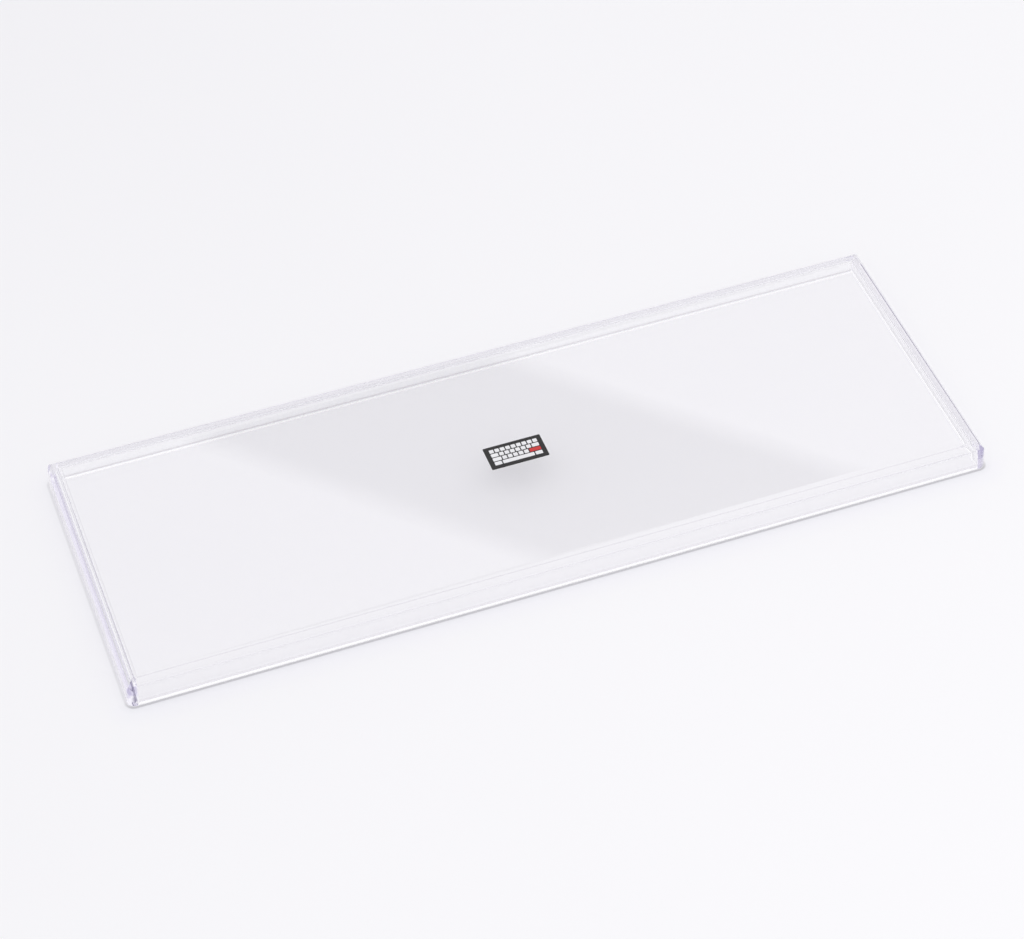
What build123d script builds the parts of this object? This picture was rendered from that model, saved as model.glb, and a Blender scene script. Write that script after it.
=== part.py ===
from build123d import *
import math
import os

# Clear acrylic dust cover for a compact keyboard, bent from one sheet: a flat
# panel on top and four flanges that reach down around the block of keys.
# Origin at the middle of the footprint, +X along the long side, -Y towards
# the person using the keyboard, +Z up.

# Overall size, measured at the rim
WIDTH = 294.0
DEPTH = 104.0
HEIGHT = 10.5

# Sheet and bends
SHEET = 3.0
BEND_OUTER_RADIUS = 4.5
BEND_INNER_RADIUS = BEND_OUTER_RADIUS - SHEET
FLANGE_SPLAY = 3.0          # degrees that each flange opens past square
RIM_EASE = 0.4              # rounding of the outer edge of the rim
RIM_BEVEL = 0.5             # bevel on the inner edge of the rim
CORNER_RADIUS = 2.5         # rounding of the outer corners, seen from above

# Open seam between each end of a long flange and the short flange beside it
SEAM_WIDTH = 0.4
SEAM_TOP = 8.6

# Badge: a printed film stuck to the middle of the panel
BADGE_WIDTH = 20.0
BADGE_DEPTH = 10.0
BADGE_CORNER = 0.3
BADGE_FILM = 0.25
BADGE_INK = 0.06

# Keyboard pictogram printed on the badge, in key units
KEY_PITCH = 1.9
KEY_GAP = 0.4
KEY_CORNER = 0.22
KEY_ROWS = [
    [1, 1, 1, 1, 1, 1, 1, 1, 1],
    [1.5, 1, 1, 1, 1, 1, 1, 1.5],
    [1.75, 1, 1, 1, 1, 1, 2.25],
    [1.5, 6, 1.5],
]
RED_KEY_ROW = 2
RED_KEY_COLUMN = 6

SPLAY = math.radians(FLANGE_SPLAY)
BADGE_TOP = HEIGHT + BADGE_FILM


def level_edges(block, height):
    """Edges of a block that lie level at one height."""
    def is_level(edge):
        box = edge.bounding_box()
        return abs(box.min.Z - height) < 1e-4 and abs(box.max.Z - height) < 1e-4
    return block.edges().filter_by(is_level)


def leaning_block(inset, top):
    """Sharp-edged solid under one face of the sheet, set `inset` inside the outer face."""
    level_inset = inset / math.cos(SPLAY)
    base = Rectangle(WIDTH - 2 * level_inset, DEPTH - 2 * level_inset)
    return extrude(base, top, taper=FLANGE_SPLAY)


def bent_block(inset, top, bend_radius):
    """The same solid with its top edges rounded as the sheet is bent."""
    block = leaning_block(inset, top)
    return fillet(level_edges(block, top), bend_radius)


def rounded_block():
    """Solid inside the outer faces of the flanges, with its corners and rim rounded."""
    base = RectangleRounded(WIDTH, DEPTH, CORNER_RADIUS)
    block = extrude(base, HEIGHT, taper=FLANGE_SPLAY)
    return fillet(level_edges(block, 0.0), RIM_EASE)


def rim_bevel_cutter():
    """Low block with sloping sides that bevels the inner edge of the rim."""
    level_inset = SHEET / math.cos(SPLAY) - RIM_BEVEL
    base = Rectangle(WIDTH - 2 * level_inset, DEPTH - 2 * level_inset)
    return extrude(base, 2 * RIM_BEVEL, taper=45)


def seam_cutter(side_x, side_y):
    """Thin slab that opens the seam at one corner, leaning with the short flange."""
    rim_x = WIDTH / 2 - SHEET / math.cos(SPLAY)
    slab = Box(SEAM_WIDTH, BEND_OUTER_RADIUS + 2.0, SEAM_TOP + 2.0)
    slab = Pos(-SEAM_WIDTH / 2, 0, SEAM_TOP / 2 - 1.0) * slab
    slab = Pos(rim_x, DEPTH / 2 - BEND_OUTER_RADIUS / 2 + 1.0, 0) * Rot(0, -FLANGE_SPLAY, 0) * slab
    if side_x < 0:
        slab = mirror(slab, about=Plane.YZ)
    if side_y < 0:
        slab = mirror(slab, about=Plane.XZ)
    return slab


def make_cover():
    outside = bent_block(0.0, HEIGHT, BEND_OUTER_RADIUS) & rounded_block()
    inside = bent_block(SHEET, HEIGHT - SHEET, BEND_INNER_RADIUS)
    cover = outside - inside - rim_bevel_cutter()
    for side_x in (-1, 1):
        for side_y in (-1, 1):
            cover = cover - seam_cutter(side_x, side_y)
    return cover


def make_badge_film():
    outline = RectangleRounded(BADGE_WIDTH, BADGE_DEPTH, BADGE_CORNER)
    return Pos(0, 0, HEIGHT) * extrude(outline, BADGE_FILM)


def key_print(row, column):
    """Ink of one key of the pictogram, standing on the badge film."""
    units = KEY_ROWS[row]
    row_width = sum(units) * KEY_PITCH
    left = sum(units[:column]) * KEY_PITCH - row_width / 2
    centre_x = left + units[column] * KEY_PITCH / 2
    centre_y = ((len(KEY_ROWS) - 1) / 2 - row) * KEY_PITCH
    key_width = units[column] * KEY_PITCH - KEY_GAP
    outline = RectangleRounded(key_width, KEY_PITCH - KEY_GAP, KEY_CORNER)
    return Pos(centre_x, centre_y, BADGE_TOP) * extrude(outline, BADGE_INK)


def make_white_print():
    keys = []
    for row, units in enumerate(KEY_ROWS):
        for column in range(len(units)):
            if (row, column) != (RED_KEY_ROW, RED_KEY_COLUMN):
                keys.append(key_print(row, column))
    return Compound(children=keys)


os.makedirs("parts", exist_ok=True)
export_step(make_cover(), "parts/cover.step")
export_step(make_badge_film(), "parts/badge_film.step")
export_step(make_white_print(), "parts/badge_white_print.step")
export_step(key_print(RED_KEY_ROW, RED_KEY_COLUMN), "parts/badge_red_print.step")
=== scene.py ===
import math

import bmesh
import bpy
from mathutils import Matrix, Vector


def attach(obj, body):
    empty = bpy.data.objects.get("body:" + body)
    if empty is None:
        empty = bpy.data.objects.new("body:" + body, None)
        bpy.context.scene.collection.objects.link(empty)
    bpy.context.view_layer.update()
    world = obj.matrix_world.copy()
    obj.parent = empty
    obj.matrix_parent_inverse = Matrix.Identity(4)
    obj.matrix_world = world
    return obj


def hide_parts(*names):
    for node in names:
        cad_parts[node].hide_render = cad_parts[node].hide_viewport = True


# Looks for the clear acrylic keyboard cover: the polished bent sheet, its
# printed badge, a pale table top, and the soft light of a white tent.
# Metres, +Z up, origin at the middle of the footprint on the table.

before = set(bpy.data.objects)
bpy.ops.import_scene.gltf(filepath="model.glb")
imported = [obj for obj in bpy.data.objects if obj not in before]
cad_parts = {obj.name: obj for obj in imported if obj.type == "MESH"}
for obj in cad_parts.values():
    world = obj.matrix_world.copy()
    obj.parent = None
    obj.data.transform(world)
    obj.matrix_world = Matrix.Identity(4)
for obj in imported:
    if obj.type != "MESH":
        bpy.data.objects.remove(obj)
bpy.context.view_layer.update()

# The bent sheet, as in the design
WIDTH = 0.294
DEPTH = 0.104
HEIGHT = 0.0105
SHEET = 0.003
BEND_OUTER_RADIUS = 0.0045
BEND_INNER_RADIUS = BEND_OUTER_RADIUS - SHEET
SPLAY = math.radians(3.0)
RIM_EASE = 0.0004
RIM_BEVEL = 0.0005
CORNER_RADIUS = 0.0025
SEAM_WIDTH = 0.0004
SEAM_TOP = 0.0086

# Fineness of the rounded surfaces, and the angle from which an edge is sharp
BEND_STEPS = 24
EASE_STEPS = 6
CORNER_STEPS = 12
SHARP_ANGLE = math.radians(25.0)

# How far a seam's cutter reaches past the sheet
OVERCUT = 0.001

# Camera: the point it aims at, and the direction and distance it looks from
AIM_POINT = Vector((-0.0006, 0.0026, 0.0))
CAMERA_AZIMUTH = math.radians(-19.15)
CAMERA_ELEVATION = math.radians(46.26)
CAMERA_ROLL = math.radians(-1.1)
CAMERA_DISTANCE = 1.0213
CAMERA_LENS = 107.86

# Acrylic: its surface, and the purple that light takes on along the sheet
ACRYLIC_IOR = 1.49
POLISH_ROUGHNESS = (0.0, 0.008)
WAVINESS = 0.05
BODY_TINT = (0.72, 0.68, 0.84, 1.0)
BODY_DENSITY = 4.0

# Painted shade on the surface as (height, colour) stops: the rim is painted dimmer than the faces
# above it, and the cut ends are painted a dark purple for the dark surroundings seen through them, deepest
# high up, with an uneven border
RIM_PAINTED_SHADE = [(0.0006, (0.88, 0.875, 0.89)), (0.0009, (1.0, 1.0, 1.0))]
CUT_END_PAINTED_SHADE = [(0.0046, (0.93, 0.925, 0.955)), (0.0055, (0.48, 0.45, 0.62))]
CUT_END_WOBBLE = 0.0006

# Painted dark line where the ceiling starts to bend, for the dark surroundings mirrored there, and the slope
# of the faces that carry it
BEND_START_PAINTED_SHADE = (0.80, 0.79, 0.82, 1.0)
BEND_START_SLOPE = (-0.9999, -0.98)

# Light on its way to the table crosses each face of the sheet straight, and light
# that the sheet has mirrored or turned this often leaves it straight
CROSSING_TINT = (0.972, 0.970, 0.976, 1.0)
MOST_MIRRORINGS = 3
MOST_TURNS = 9
LEAVING_TINT = (0.92, 0.91, 0.95, 1.0)

# Share of the light to the table that the badge holds back, so its shade stays faint
BADGE_SHADE = 0.25

# Table top, its own pale tone with painted light that makes it brighter towards the front and the right. Its
# painted shade in the crevice round the rim is given as (position, shade) stops over a reach of distances.
TABLE_SIZE = 8.0
TABLE_DROP = 0.00001
TABLE_TONES_AND_PAINTED_LIGHT = [(0.0, (0.845, 0.844, 0.862)), (1.0, (0.945, 0.944, 0.955))]
CREVICE_REACH = (-0.001, 0.009)
CREVICE_SHADES = [(0.0, 1.0), (0.07, 0.97), (0.1, 0.64), (0.15, 0.62), (0.2, 0.94), (0.4, 0.985), (1.0, 1.0)]
CREVICE_DEPTH_BEHIND = 0.4
CREVICE_FRONT_BLEND = 0.003

# Light: a white tent, dimmer and purple where it meets the table, as (height,
# colour) stops, with one short dark gap overhead
TENT_LIGHT = 1.08
TENT_COLOURS = [(0.08, (0.33, 0.31, 0.40)), (0.28, (0.99, 0.985, 1.0)), (1.0, (1.0, 0.995, 1.0))]
GAP_LIGHT = 0.15
GAP_COLOUR = (0.95, 0.93, 1.0, 1.0)
GAP_CENTRE = (0.383, 1.084, 1.2)
GAP_SIZE = (0.6, 0.202)
GAP_SOFTNESS = 0.014
GAP_TURN = math.radians(-45.8)

# Range that most noise values fall in
NOISE_RANGE = (0.3, 0.7)


def new_material(name):
    """Material with an empty node tree but for its output."""
    material = bpy.data.materials.new(name)
    material.use_nodes = True
    tree = material.node_tree
    tree.nodes.clear()
    output = tree.nodes.new("ShaderNodeOutputMaterial")
    return material, tree, output


def object_position(tree):
    """Object coordinates as separate X, Y and Z outputs."""
    coordinates = tree.nodes.new("ShaderNodeTexCoord")
    split = tree.nodes.new("ShaderNodeSeparateXYZ")
    tree.links.new(coordinates.outputs["Object"], split.inputs["Vector"])
    return split.outputs


def object_noise(tree, scale, detail):
    """Noise over object coordinates; returns its value."""
    coordinates = tree.nodes.new("ShaderNodeTexCoord")
    texture = tree.nodes.new("ShaderNodeTexNoise")
    texture.inputs["Scale"].default_value = scale
    texture.inputs["Detail"].default_value = detail
    tree.links.new(coordinates.outputs["Object"], texture.inputs["Vector"])
    return texture.outputs["Fac"]


def map_range(tree, source, from_range, to_range):
    """Rescales a value from one range to another, clamped."""
    node = tree.nodes.new("ShaderNodeMapRange")
    node.inputs["From Min"].default_value = from_range[0]
    node.inputs["From Max"].default_value = from_range[1]
    node.inputs["To Min"].default_value = to_range[0]
    node.inputs["To Max"].default_value = to_range[1]
    tree.links.new(source, node.inputs["Value"])
    return node.outputs["Result"]


def math_node(tree, operation, *values):
    """Math node over sockets or plain numbers; returns its result."""
    node = tree.nodes.new("ShaderNodeMath")
    node.operation = operation
    for index, value in enumerate(values):
        if isinstance(value, (int, float)):
            node.inputs[index].default_value = value
        else:
            tree.links.new(value, node.inputs[index])
    return node.outputs["Value"]


def bump(tree, source, strength, distance):
    """Bump from a height value; returns the normal."""
    node = tree.nodes.new("ShaderNodeBump")
    node.inputs["Strength"].default_value = strength
    node.inputs["Distance"].default_value = distance
    tree.links.new(source, node.inputs["Height"])
    return node.outputs["Normal"]


def colour_ramp(tree, value, stops):
    """Colour by a value, from rising (position, colour) stops."""
    ramp = tree.nodes.new("ShaderNodeValToRGB")
    elements = ramp.color_ramp.elements
    while len(elements) < len(stops):
        elements.new(0.5)
    for element, (position, colour) in zip(elements, stops):
        element.position = position
        element.color = (*colour, 1.0)
    tree.links.new(value, ramp.inputs["Fac"])
    return ramp.outputs["Color"]


def mix_colours(tree, share, first, second, blend="MIX"):
    """Mix of a colour socket with a second one, or with a fixed colour."""
    mix = tree.nodes.new("ShaderNodeMixRGB")
    mix.blend_type = blend
    tree.links.new(share, mix.inputs["Fac"])
    tree.links.new(first, mix.inputs["Color1"])
    if isinstance(second, tuple):
        mix.inputs["Color2"].default_value = second
    else:
        tree.links.new(second, mix.inputs["Color2"])
    return mix.outputs["Color"]


def mix_shaders(tree, share, first, second):
    """Mix of two shaders, `share` of it the second."""
    mix = tree.nodes.new("ShaderNodeMixShader")
    tree.links.new(share, mix.inputs["Fac"])
    tree.links.new(first, mix.inputs[1])
    tree.links.new(second, mix.inputs[2])
    return mix.outputs["Shader"]


def transparent(tree, colour):
    """Shader that light crosses straight, tinted."""
    node = tree.nodes.new("ShaderNodeBsdfTransparent")
    node.inputs["Color"].default_value = colour
    return node.outputs["BSDF"]


def lights_table(tree, path):
    """1 for a ray that carries light to a matt surface, such as the table, else 0."""
    return math_node(tree, "MAXIMUM", path.outputs["Is Shadow Ray"], path.outputs["Is Diffuse Ray"])


def face_share(tree, name):
    """Value that the mesh stores for each face under a name."""
    node = tree.nodes.new("ShaderNodeAttribute")
    node.attribute_name = name
    return node.outputs["Fac"]


def colour_by_height(tree, height, stops):
    """Colour by height above the table, from (height, colour) stops."""
    level = map_range(tree, height, (0.0, HEIGHT), (0.0, 1.0))
    return colour_ramp(tree, level, [(stop / HEIGHT, colour) for stop, colour in stops])


def surface_painted_shade(tree):
    """Painted shade on the sheet: the rim dimmed below the faces above it, the cut ends darkened purple, and
    a dark line at the start of its inner bends.
    """
    height = object_position(tree)["Z"]
    wobble = map_range(tree, object_noise(tree, 900.0, 2.0), NOISE_RANGE, (-CUT_END_WOBBLE, CUT_END_WOBBLE))
    uneven_height = math_node(tree, "ADD", height, wobble)
    # Painted shade: the rim dimmed below the faces above it
    rim_painted_shade = colour_by_height(tree, height, RIM_PAINTED_SHADE)
    # Painted shade: the cut ends darkened purple, for the dark surroundings seen through them
    end_painted_shade = colour_by_height(tree, uneven_height, CUT_END_PAINTED_SHADE)
    sheet_shade = mix_colours(tree, face_share(tree, "cut_end"), rim_painted_shade, end_painted_shade)
    # Painted shade: a dark line where the ceiling starts to turn down
    return mix_colours(tree, face_share(tree, "inner_bend"), sheet_shade, BEND_START_PAINTED_SHADE)


def make_acrylic():
    """Polished clear sheet with a faint purple body and painted shade that depends on the place."""
    material, tree, output = new_material("clear_acrylic")
    glass = tree.nodes.new("ShaderNodeBsdfPrincipled")
    glass.inputs["Transmission Weight"].default_value = 1.0
    glass.inputs["IOR"].default_value = ACRYLIC_IOR
    roughness = map_range(tree, object_noise(tree, 600.0, 4.0), (0.35, 0.75), POLISH_ROUGHNESS)
    tree.links.new(roughness, glass.inputs["Roughness"])
    # Base colour carries painted shade: dimmed rim, dark purple cut ends, dark line where the ceiling bends
    tree.links.new(surface_painted_shade(tree), glass.inputs["Base Color"])
    tree.links.new(bump(tree, object_noise(tree, 35.0, 1.0), WAVINESS, 0.0001), glass.inputs["Normal"])

    path = tree.nodes.new("ShaderNodeLightPath")
    crossing = transparent(tree, CROSSING_TINT)
    surface = mix_shaders(tree, lights_table(tree, path), glass.outputs["BSDF"], crossing)
    mirrored = math_node(tree, "GREATER_THAN", path.outputs["Glossy Depth"], MOST_MIRRORINGS - 0.5)
    turned = math_node(tree, "GREATER_THAN", path.outputs["Ray Depth"], MOST_TURNS - 0.5)
    spent = math_node(tree, "MAXIMUM", mirrored, turned)
    surface = mix_shaders(tree, spent, surface, transparent(tree, LEAVING_TINT))
    tree.links.new(surface, output.inputs["Surface"])

    body = tree.nodes.new("ShaderNodeVolumeAbsorption")
    body.inputs["Color"].default_value = BODY_TINT
    body.inputs["Density"].default_value = BODY_DENSITY
    tree.links.new(body.outputs["Volume"], output.inputs["Volume"])
    return material


def make_print(name, colour, roughness, speckle):
    """Printed film or ink: a base colour with faint speckle and a fine grain."""
    material, tree, output = new_material(name)
    paint = tree.nodes.new("ShaderNodeBsdfPrincipled")
    grain = object_noise(tree, 9000.0, 3.0)
    blotch = object_noise(tree, 700.0, 2.0)
    darker = tuple(channel * (1.0 - speckle) for channel in colour)
    speckled = colour_ramp(tree, blotch, list(zip(NOISE_RANGE, (darker, colour))))
    tree.links.new(speckled, paint.inputs["Base Color"])
    tree.links.new(map_range(tree, grain, NOISE_RANGE, roughness), paint.inputs["Roughness"])
    tree.links.new(bump(tree, grain, 0.15, 0.00002), paint.inputs["Normal"])

    path = tree.nodes.new("ShaderNodeLightPath")
    let_through = math_node(tree, "MULTIPLY", lights_table(tree, path), 1.0 - BADGE_SHADE)
    surface = mix_shaders(tree, let_through, paint.outputs["BSDF"], transparent(tree, (1.0, 1.0, 1.0, 1.0)))
    tree.links.new(surface, output.inputs["Surface"])
    return material


def arc_points(centre, radius, start, end, steps):
    """Points on an arc in the (inset, height) plane, angles in radians."""
    points = []
    for step in range(steps + 1):
        angle = start + (end - start) * step / steps
        points.append((centre[0] + radius * math.cos(angle), centre[1] + radius * math.sin(angle)))
    return points


def bend_points(inset, top, radius):
    """Arc of one bend, from the leaning wall that starts at `inset` up to the flat face."""
    centre_height = top - radius
    centre_inset = inset + math.tan(SPLAY) * centre_height + radius / math.cos(SPLAY)
    return arc_points((centre_inset, centre_height), radius, math.pi - SPLAY, math.pi / 2, BEND_STEPS)


def outside_profile():
    """Section of the outer surface as (inset, height) points, from the rim to the top face."""
    ease_inset = RIM_EASE * math.tan(SPLAY) + RIM_EASE / math.cos(SPLAY)
    ease = arc_points((ease_inset, RIM_EASE), RIM_EASE, math.pi * 1.5, math.pi - SPLAY, EASE_STEPS)
    return ease + bend_points(0.0, HEIGHT, BEND_OUTER_RADIUS)


def inside_profile():
    """Section of the inner surface as (inset, height) points, from the ceiling to the bevelled rim."""
    wall_inset = SHEET / math.cos(SPLAY)
    bend = bend_points(wall_inset, HEIGHT - SHEET, BEND_INNER_RADIUS)
    bevel_height = RIM_BEVEL / (1.0 - math.tan(SPLAY))
    rim_inset = wall_inset - RIM_BEVEL
    return bend[::-1] + [(rim_inset + bevel_height, bevel_height), (rim_inset, 0.0)]


def outer_ring(inset, height):
    """Rectangle with rounded corners, or with mitred ones where the bends meet above them."""
    wall_inset = height * math.tan(SPLAY)
    radius = CORNER_RADIUS - (inset if height < RIM_EASE else wall_inset)
    limit_x, limit_y = WIDTH / 2 - inset, DEPTH / 2 - inset
    corner = []
    for step in range(CORNER_STEPS + 1):
        angle = math.pi / 2 * step / CORNER_STEPS
        x = WIDTH / 2 - CORNER_RADIUS + radius * math.cos(angle)
        y = DEPTH / 2 - CORNER_RADIUS + radius * math.sin(angle)
        corner.append((min(x, limit_x), min(y, limit_y)))
    back = corner[::-1]
    ring = corner + [(-x, y) for x, y in back] + [(-x, -y) for x, y in corner] + [(x, -y) for x, y in back]
    return [(x, y, height) for x, y in ring]


def inner_ring(inset, height):
    """Sharp rectangle with as many points as the outer rings have, gathered at its corners."""
    x, y = WIDTH / 2 - inset, DEPTH / 2 - inset
    per_corner = CORNER_STEPS + 1
    return [(cx, cy, height) for cx, cy in [(x, y), (-x, y), (-x, -y), (x, -y)] for _ in range(per_corner)]


def join_rings(mesh, rings):
    """Faces between each ring of vertices and the next."""
    for ring, next_ring in zip(rings, rings[1:]):
        for a in range(len(ring)):
            b = (a + 1) % len(ring)
            mesh.faces.new([ring[a], ring[b], next_ring[b], next_ring[a]])


def link_mesh(name, mesh):
    """Object in the scene from a finished bmesh, which it frees."""
    data = bpy.data.meshes.new(name)
    mesh.to_mesh(data)
    mesh.free()
    thing = bpy.data.objects.new(name, data)
    bpy.context.scene.collection.objects.link(thing)
    return thing


def make_seam_slab(side_x, side_y):
    """Thin slab in the place of one open corner seam."""
    size = (SEAM_WIDTH, BEND_OUTER_RADIUS + 2 * OVERCUT, SEAM_TOP + 2 * OVERCUT)
    rim_x = WIDTH / 2 - SHEET / math.cos(SPLAY)
    mesh = bmesh.new()
    bmesh.ops.create_cube(mesh, size=1.0)
    place = (
        Matrix.Diagonal((side_x, side_y, 1.0, 1.0))
        @ Matrix.Translation((rim_x, DEPTH / 2 - BEND_OUTER_RADIUS / 2 + OVERCUT, 0.0))
        @ Matrix.Rotation(-SPLAY, 4, "Y")
        @ Matrix.Translation((-SEAM_WIDTH / 2, 0.0, SEAM_TOP / 2 - OVERCUT))
        @ Matrix.Diagonal((*size, 1.0))
    )
    bmesh.ops.transform(mesh, matrix=place, verts=mesh.verts)
    bmesh.ops.recalc_face_normals(mesh, faces=mesh.faces)
    return link_mesh("seam_slab", mesh)


def make_bent_sheet():
    """The cover before its seams are cut."""
    profile_rings = [inner_ring(*point) for point in inside_profile()]
    profile_rings += [outer_ring(*point) for point in outside_profile()]
    mesh = bmesh.new()
    rings = [[mesh.verts.new(point) for point in ring] for ring in profile_rings]
    join_rings(mesh, rings)
    mesh.faces.new(rings[0])
    mesh.faces.new(rings[-1])
    bmesh.ops.remove_doubles(mesh, verts=mesh.verts, dist=1e-7)
    bmesh.ops.recalc_face_normals(mesh, faces=mesh.faces)
    return link_mesh("clear_cover", mesh)


def cut_seams(cover):
    """Cuts the four corner seams and leaves the cover with a plain mesh."""
    slabs = [make_seam_slab(side_x, side_y) for side_x in (-1, 1) for side_y in (-1, 1)]
    for slab in slabs:
        cut = cover.modifiers.new("seam", "BOOLEAN")
        cut.operation = "DIFFERENCE"
        cut.solver = "EXACT"
        cut.object = slab
    graph = bpy.context.evaluated_depsgraph_get()
    cut_mesh = bpy.data.meshes.new_from_object(cover.evaluated_get(graph))
    cover.modifiers.clear()
    cover.data = cut_mesh
    for slab in slabs:
        bpy.data.objects.remove(slab)


def is_cut_end(face):
    """True for the faces at the ends of the short flanges, with their rounded corners."""
    x, y = abs(face.center.x), abs(face.center.y)
    outward = face.normal.y * face.center.y > 0 and abs(face.normal.y) > 0.4
    return outward and x > WIDTH / 2 - SHEET - 0.0002 and y > DEPTH / 2 - BEND_OUTER_RADIUS


def is_inner_bend(face):
    """True for the first faces where the ceiling starts to turn down into the flanges."""
    x, y = abs(face.center.x), abs(face.center.y)
    inside = x < WIDTH / 2 - SHEET and y < DEPTH / 2 - SHEET
    flattest, steepest = BEND_START_SLOPE
    high = face.center.z > HEIGHT - SHEET - BEND_INNER_RADIUS
    return inside and high and flattest < face.normal.z < steepest


def make_cover(material):
    cover = make_bent_sheet()
    cut_seams(cover)
    mesh = cover.data
    for face in mesh.polygons:
        face.use_smooth = True
    mesh.set_sharp_from_angle(angle=SHARP_ANGLE)
    weighted = cover.modifiers.new("face_normals", "WEIGHTED_NORMAL")
    weighted.keep_sharp = True
    mesh.materials.clear()
    mesh.materials.append(material)
    for name, belongs in (("cut_end", is_cut_end), ("inner_bend", is_inner_bend)):
        share = mesh.attributes.new(name, "FLOAT", "FACE")
        for face in mesh.polygons:
            share.data[face.index].value = 1.0 if belongs(face) else 0.0
    return cover


def footprint_distance(tree, position):
    """Distance outside the cover's footprint, in metres, negative under it."""
    beyond = []
    for axis, size in (("X", WIDTH), ("Y", DEPTH)):
        from_middle = math_node(tree, "ABSOLUTE", position[axis])
        beyond.append(math_node(tree, "SUBTRACT", from_middle, size / 2 - CORNER_RADIUS))
    inner = math_node(tree, "MINIMUM", math_node(tree, "MAXIMUM", *beyond), 0.0)
    squares = [math_node(tree, "POWER", math_node(tree, "MAXIMUM", value, 0.0), 2.0) for value in beyond]
    outer = math_node(tree, "SQRT", math_node(tree, "ADD", *squares))
    return math_node(tree, "SUBTRACT", math_node(tree, "ADD", inner, outer), CORNER_RADIUS)


def make_table():
    """Pale table top with a faint mottle, painted light brighter towards the front and right, and painted
    shade in the crevice round the rim.
    """
    material, tree, output = new_material("table_top")
    position = object_position(tree)
    mottle = map_range(tree, object_noise(tree, 3.0, 2.0), NOISE_RANGE, (-0.05, 0.05))
    # Painted light: the table brighter towards the front and the right
    towards_corner = math_node(tree, "SUBTRACT", position["X"], position["Y"])
    painted_light_slope = map_range(tree, towards_corner, (-0.5, 0.5), (0.0, 1.0))
    colour = colour_ramp(tree, math_node(tree, "ADD", painted_light_slope, mottle), TABLE_TONES_AND_PAINTED_LIGHT)

    # Painted shadow on the table in the crevice round the rim, strongest at the front
    distance = map_range(tree, footprint_distance(tree, position), CREVICE_REACH, (0.0, 1.0))
    shades = [(stop, (shade, shade, min(1.0, shade * 1.02))) for stop, shade in CREVICE_SHADES]
    crevice = colour_ramp(tree, distance, shades)
    towards_front = math_node(tree, "MULTIPLY", position["Y"], -1.0)
    front = (DEPTH / 2 - CREVICE_FRONT_BLEND, DEPTH / 2)
    depth_of_shade = map_range(tree, towards_front, front, (CREVICE_DEPTH_BEHIND, 1.0))

    top = tree.nodes.new("ShaderNodeBsdfPrincipled")
    top.inputs["Roughness"].default_value = 0.8
    top.inputs["Specular IOR Level"].default_value = 0.1
    shaded = mix_colours(tree, depth_of_shade, colour, crevice, "MULTIPLY")
    tree.links.new(shaded, top.inputs["Base Color"])
    tree.links.new(top.outputs["BSDF"], output.inputs["Surface"])

    bpy.ops.mesh.primitive_plane_add(size=TABLE_SIZE, location=(0.0, 0.0, -TABLE_DROP))
    table = bpy.context.object
    table.name = "table_top"
    table.data.materials.append(material)


def make_tent_gap():
    """Dark gap between the diffusers overhead, fading into them at its edges."""
    material, tree, output = new_material("tent_gap")
    dim = tree.nodes.new("ShaderNodeEmission")
    dim.inputs["Color"].default_value = GAP_COLOUR
    dim.inputs["Strength"].default_value = GAP_LIGHT
    across = math_node(tree, "ABSOLUTE", object_position(tree)["Y"])
    half = GAP_SIZE[1] / 2
    fade = map_range(tree, across, (half - GAP_SOFTNESS, half + GAP_SOFTNESS), (0.0, 1.0))
    surface = mix_shaders(tree, fade, dim.outputs["Emission"], transparent(tree, (1.0, 1.0, 1.0, 1.0)))
    tree.links.new(surface, output.inputs["Surface"])

    mesh = bmesh.new()
    x, y = GAP_SIZE[0] / 2, half + GAP_SOFTNESS
    mesh.faces.new([mesh.verts.new(corner) for corner in [(-x, -y, 0), (x, -y, 0), (x, y, 0), (-x, y, 0)]])
    gap = link_mesh("tent_gap", mesh)
    gap.matrix_world = Matrix.Translation(GAP_CENTRE) @ Matrix.Rotation(GAP_TURN, 4, "Z")
    gap.data.materials.append(material)


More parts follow.
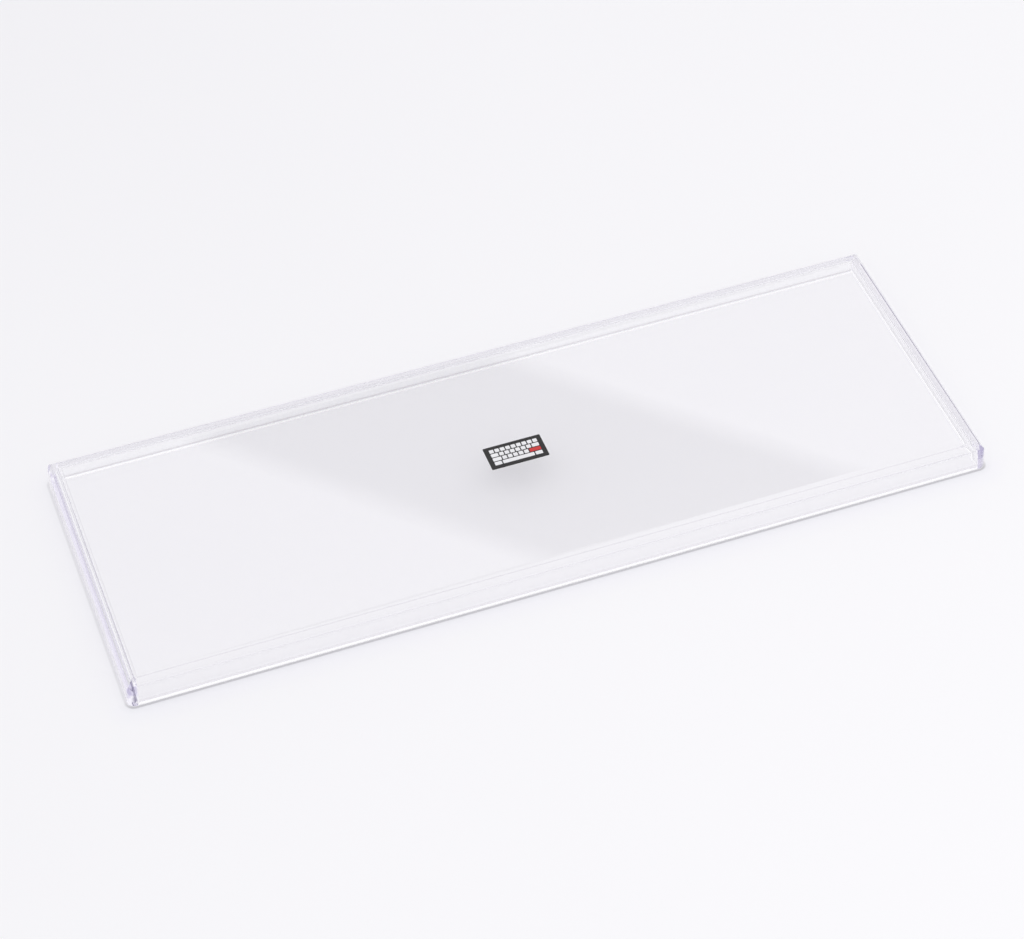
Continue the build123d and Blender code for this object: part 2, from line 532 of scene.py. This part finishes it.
def make_world():
    """White tent, with a dimmer purple-grey band where it meets the table."""
    world = bpy.data.worlds.new("tent")
    bpy.context.scene.world = world
    world.use_nodes = True
    tree = world.node_tree
    background = tree.nodes["Background"]
    coordinates = tree.nodes.new("ShaderNodeTexCoord")
    split = tree.nodes.new("ShaderNodeSeparateXYZ")
    tree.links.new(coordinates.outputs["Generated"], split.inputs["Vector"])
    tree.links.new(colour_ramp(tree, split.outputs["Z"], TENT_COLOURS), background.inputs["Color"])
    background.inputs["Strength"].default_value = TENT_LIGHT


def make_camera():
    sine, cosine = math.sin, math.cos
    back = Vector((
        sine(CAMERA_AZIMUTH) * cosine(CAMERA_ELEVATION),
        -cosine(CAMERA_AZIMUTH) * cosine(CAMERA_ELEVATION),
        sine(CAMERA_ELEVATION),
    ))
    level_right = Vector((cosine(CAMERA_AZIMUTH), sine(CAMERA_AZIMUTH), 0.0))
    level_up = back.cross(level_right)
    right = cosine(CAMERA_ROLL) * level_right + sine(CAMERA_ROLL) * level_up
    up = back.cross(right)
    data = bpy.data.cameras.new("camera")
    data.sensor_width = 36.0
    data.lens = CAMERA_LENS
    data.clip_start = 0.01
    data.clip_end = 50.0
    camera = bpy.data.objects.new("camera", data)
    place = AIM_POINT + back * CAMERA_DISTANCE
    camera.matrix_world = Matrix((
        (right.x, up.x, back.x, place.x),
        (right.y, up.y, back.y, place.y),
        (right.z, up.z, back.z, place.z),
        (0.0, 0.0, 0.0, 1.0),
    ))
    bpy.context.scene.collection.objects.link(camera)
    bpy.context.scene.camera = camera


def paint_node(name, material):
    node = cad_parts[name]
    node.data.materials.clear()
    node.data.materials.append(material)


cover = make_cover(make_acrylic())
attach(cover, "root")
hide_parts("cover")
paint_node("badge_film", make_print("black_film", (0.012, 0.011, 0.012), (0.25, 0.4), 0.3))
paint_node("badge_white_print", make_print("white_ink", (0.82, 0.82, 0.84), (0.45, 0.6), 0.06))
paint_node("badge_red_print", make_print("red_ink", (0.62, 0.03, 0.03), (0.45, 0.6), 0.15))

make_table()
make_tent_gap()
make_world()
make_camera()
bpy.context.scene.view_settings.view_transform = "Standard"
